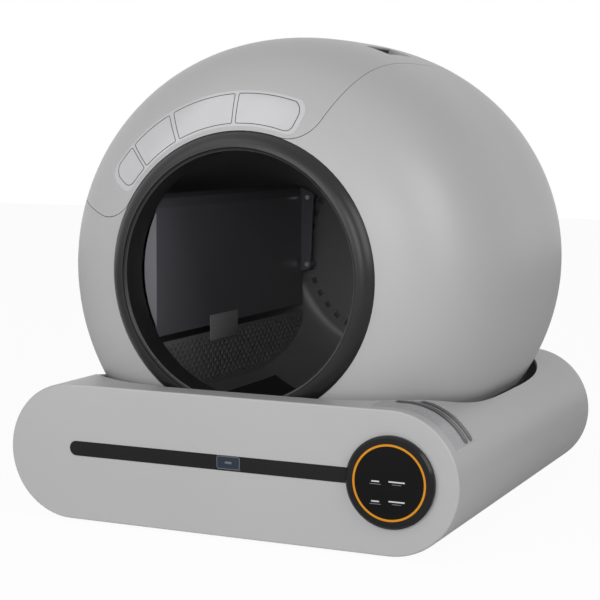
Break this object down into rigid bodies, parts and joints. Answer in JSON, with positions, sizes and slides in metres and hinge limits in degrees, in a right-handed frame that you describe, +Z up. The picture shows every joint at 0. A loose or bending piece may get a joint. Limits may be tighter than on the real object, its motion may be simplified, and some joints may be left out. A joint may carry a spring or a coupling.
{
  "type": "self cleaning litter box",
  "caption": "Globe shaped litter box on a capsule base, with a round entry, a turning sifting drum, a lift-up hatch, a waste drawer and a round front display.",
  "frame": {"origin": "on the floor, at the bottom centre of the bounding box", "axes": "+Z up, -Y out of the entry towards the front, +X to the right seen from the front"},
  "size_m": [0.6, 0.5936, 0.6123],
  "materials": {
    "shell_grey": "satin light neutral grey moulded plastic",
    "ring_black": "satin gloss black moulded plastic",
    "gloss_black": "polished black plastic",
    "dark_plastic": "fine grained black plastic",
    "drum_grey": "smooth dark grey plastic",
    "plate_dark": "smooth near black violet grey plastic",
    "screen_grey": "smooth dark grey plastic, perforated",
    "rubber_black": "soft matt rubber",
    "gear_plastic": "natural white acetal",
    "steel": "bright drawn steel",
    "aluminium": "machined aluminium",
    "board_green": "glass fibre circuit board",
    "display_glass": "black polished display window",
    "light_amber": "amber light guide",
    "sensor_blue": "bluish grey window tile",
    "latch_beige": "warm grey satin plastic"
  },
  "bodies": {
    "root": {"housing_shell": "shell_grey", "rear_cover": "shell_grey", "entry_ring": "ring_black", "entry_gasket": "rubber_black", "hinge_pin": "steel", "base_lower_shell": "shell_grey", "base_upper_shell": "shell_grey", "front_panel": "shell_grey", "control_strip": "gloss_black", "sensor_tile": "sensor_blue", "presence_sensor": "board_green", "display_bezel": "gloss_black", "display_light_ring": "light_amber", "display_glass": "display_glass", "display_board": "board_green", "cradle": "dark_plastic", "gear_motor": "steel", "motor_bracket": "steel", "drawer_rails": "dark_plastic", "load_cells": "aluminium", "control_board": "board_green", "power_inlet": "gloss_black", "roller_bracket_front_left": "dark_plastic", "roller_bracket_front_right": "dark_plastic", "roller_bracket_rear_left": "dark_plastic", "roller_bracket_rear_right": "dark_plastic", "axle_front_left": "steel", "axle_front_right": "steel", "axle_rear_left": "steel", "axle_rear_right": "steel", "foot_front_left": "rubber_black", "foot_front_right": "rubber_black", "foot_rear_left": "rubber_black", "foot_rear_right": "rubber_black"},
    "drum": {"drum_front_shell": "drum_grey", "drum_rear_shell": "drum_grey", "ring_gear": "gear_plastic", "guide_plate": "plate_dark", "plate_screws": "steel", "sifting_screen": "screen_grey", "drum_liner": "rubber_black", "hub_cover": "drum_grey"},
    "pinion": {"drive_pinion": "gear_plastic", "drive_shaft": "steel"},
    "drawer": {"drawer_tray": "dark_plastic", "drawer_front": "shell_grey", "bag_frame": "dark_plastic"},
    "hatch": {"hatch_panel": "shell_grey"},
    "latch": {"hatch_latch": "latch_beige"},
    "roller_front_left": {"roller_front_left": "gear_plastic"},
    "roller_front_right": {"roller_front_right": "gear_plastic"},
    "roller_rear_left": {"roller_rear_left": "gear_plastic"},
    "roller_rear_right": {"roller_rear_right": "gear_plastic"}
  },
  "joints": [
    {"name": "drum_turn", "type": "hinge", "parent": "root", "child": "drum", "pos_m": [0, 0, 0.3145], "axis": [0, 1, 0], "continuous": true},
    {"name": "pinion_turn", "type": "hinge", "parent": "root", "child": "pinion", "pos_m": [0.16829, 0.2145, 0.14621], "axis": [0, 1, 0], "continuous": true},
    {"name": "drawer_slide", "type": "slide", "parent": "root", "child": "drawer", "axis": [0, 1, 0], "range_m": [0, 0.36]},
    {"name": "hatch_hinge", "type": "hinge", "parent": "root", "child": "hatch", "pos_m": [-0.27846, 0.01969, 0.41038], "axis": [0, -1, 0], "range_deg": [0, 90]},
    {"name": "latch_slide", "type": "slide", "parent": "hatch", "child": "latch", "axis": [-0.9426, 0, 0.3338], "range_m": [0, 0.006], "stiffness_N_per_m": 80},
    {"name": "roller_front_left_turn", "type": "hinge", "parent": "root", "child": "roller_front_left", "pos_m": [-0.14363, -0.0965, 0.13066], "axis": [0, 1, 0], "continuous": true},
    {"name": "roller_front_right_turn", "type": "hinge", "parent": "root", "child": "roller_front_right", "pos_m": [0.14363, -0.0965, 0.13066], "axis": [0, 1, 0], "continuous": true},
    {"name": "roller_rear_left_turn", "type": "hinge", "parent": "root", "child": "roller_rear_left", "pos_m": [-0.14363, 0.0385, 0.13066], "axis": [0, 1, 0], "continuous": true},
    {"name": "roller_rear_right_turn", "type": "hinge", "parent": "root", "child": "roller_rear_right", "pos_m": [0.14363, 0.0385, 0.13066], "axis": [0, 1, 0], "continuous": true}
  ],
  "couplings": [
    {"joint": "pinion_turn", "follows": "drum_turn", "ratio": -8.1538},
    {"joint": "roller_front_left_turn", "follows": "drum_turn", "ratio": -18.417},
    {"joint": "roller_front_right_turn", "follows": "drum_turn", "ratio": -18.417},
    {"joint": "roller_rear_left_turn", "follows": "drum_turn", "ratio": -18.417},
    {"joint": "roller_rear_right_turn", "follows": "drum_turn", "ratio": -18.417}
  ]
}
